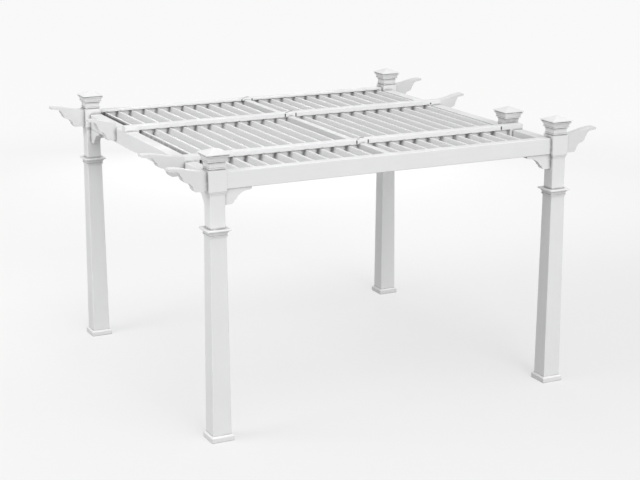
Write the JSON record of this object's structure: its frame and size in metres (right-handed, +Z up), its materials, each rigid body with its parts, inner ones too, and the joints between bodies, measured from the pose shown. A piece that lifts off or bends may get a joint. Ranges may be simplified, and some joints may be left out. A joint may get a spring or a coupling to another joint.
{
  "type": "louvred garden pergola",
  "caption": "Free-standing white vinyl pergola: tapered square posts with moulded caps, ogee beam ends, corbels and an open roof of louvre slats on edge.",
  "frame": {"origin": "on the floor, at the centre of the rectangle of posts", "axes": "+Z up, +X along the front beam to the right as seen from the front, +Y from the front beam to the rear beam"},
  "size_m": [4.21, 3.44, 2.545],
  "materials": {
    "frame_vinyl": "satin white extruded vinyl",
    "trim_vinyl": "satin white moulded vinyl",
    "louvre_vinyl": "satin white extruded vinyl slat",
    "fitting_steel": "dark zinc-plated steel fittings"
  },
  "bodies": {
    "root": {"centre_rail": "frame_vinyl", "corbels_front_left": "trim_vinyl", "corbels_front_right": "trim_vinyl", "corbels_rear_left": "trim_vinyl", "corbels_rear_right": "trim_vinyl", "front_beam": "frame_vinyl", "front_rafter": "frame_vinyl", "head_box_front_left": "frame_vinyl", "head_box_front_right": "frame_vinyl", "head_box_rear_left": "frame_vinyl", "head_box_rear_right": "frame_vinyl", "left_beam": "frame_vinyl", "left_tails": "trim_vinyl", "louvres_front_left": "louvre_vinyl", "louvres_front_right": "louvre_vinyl", "louvres_middle_left": "louvre_vinyl", "louvres_middle_right": "louvre_vinyl", "louvres_rear_left": "louvre_vinyl", "louvres_rear_right": "louvre_vinyl", "neck_moulding_front_left": "trim_vinyl", "neck_moulding_front_right": "trim_vinyl", "neck_moulding_rear_left": "trim_vinyl", "neck_moulding_rear_right": "trim_vinyl", "post_base_front_left": "trim_vinyl", "post_base_front_right": "trim_vinyl", "post_base_rear_left": "trim_vinyl", "post_base_rear_right": "trim_vinyl", "post_cap_front_left": "trim_vinyl", "post_cap_front_right": "trim_vinyl", "post_cap_rear_left": "trim_vinyl", "post_cap_rear_right": "trim_vinyl", "post_shaft_front_left": "frame_vinyl", "post_shaft_front_right": "frame_vinyl", "post_shaft_rear_left": "frame_vinyl", "post_shaft_rear_right": "frame_vinyl", "rear_beam": "frame_vinyl", "rear_rafter": "frame_vinyl", "right_beam": "frame_vinyl", "right_beam_cap": "trim_vinyl", "right_tails": "trim_vinyl", "upper_post_front_left": "frame_vinyl", "upper_post_front_right": "frame_vinyl", "upper_post_rear_left": "frame_vinyl", "upper_post_rear_right": "frame_vinyl"}
  },
  "joints": []
}
